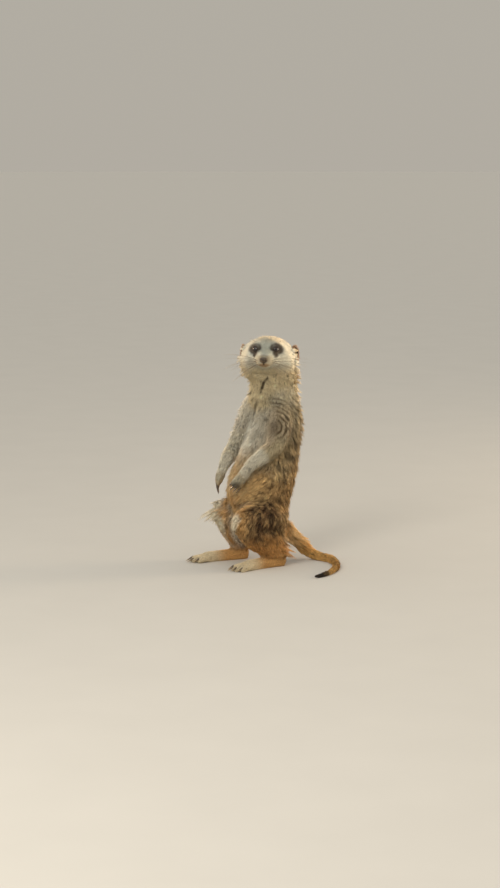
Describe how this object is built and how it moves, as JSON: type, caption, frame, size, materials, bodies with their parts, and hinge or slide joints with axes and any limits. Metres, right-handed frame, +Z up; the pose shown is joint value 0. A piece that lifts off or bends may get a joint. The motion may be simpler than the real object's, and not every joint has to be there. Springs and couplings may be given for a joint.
{
  "type": "meerkat",
  "caption": "Life-size still model of a meerkat that sits upright on its hind feet, head turned to its left, hands hung before its belly, tail laid on the floor.",
  "frame": {"origin": "middle of the bounding box's footprint, at the floor that the feet and tail rest on", "axes": "+X towards the animal's left, -Y the way its chest faces, +Z up"},
  "size_m": [0.1612, 0.152, 0.2614],
  "materials": {
    "coat_pale": "short dense fur, pale grey-cream",
    "coat_tan": "short fur, tan",
    "coat_grizzled": "coarse fur, grizzled tan and brown",
    "coat_orange": "fur, warm orange-tan",
    "horn": "dark horn claws, satin",
    "nose_leather": "bare dark nose skin, slightly damp",
    "ear_black": "thin black ear skin with short hair",
    "eye_wet": "dark eye with a wet clear surface"
  },
  "bodies": {
    "root": {"head": "coat_pale", "neck": "coat_pale", "trunk": "coat_grizzled", "ear_left": "ear_black", "eye_left": "eye_wet", "ear_right": "ear_black", "eye_right": "eye_wet", "nose": "nose_leather", "upper_arm_left": "coat_tan", "forearm_left": "coat_tan", "hand_left": "coat_tan", "thigh_left": "coat_grizzled", "shank_left": "coat_orange", "foot_left": "coat_tan", "hand_claw_left_1": "horn", "foot_claw_left_1": "horn", "hand_claw_left_2": "horn", "foot_claw_left_2": "horn", "hand_claw_left_3": "horn", "foot_claw_left_3": "horn", "hand_claw_left_4": "horn", "foot_claw_left_4": "horn", "upper_arm_right": "coat_tan", "forearm_right": "coat_tan", "hand_right": "coat_tan", "thigh_right": "coat_grizzled", "shank_right": "coat_orange", "foot_right": "coat_tan", "hand_claw_right_1": "horn", "foot_claw_right_1": "horn", "hand_claw_right_2": "horn", "foot_claw_right_2": "horn", "hand_claw_right_3": "horn", "foot_claw_right_3": "horn", "hand_claw_right_4": "horn", "foot_claw_right_4": "horn", "tail_1": "coat_orange", "tail_2": "coat_orange", "tail_3": "coat_orange", "tail_4": "coat_orange"}
  },
  "joints": []
}
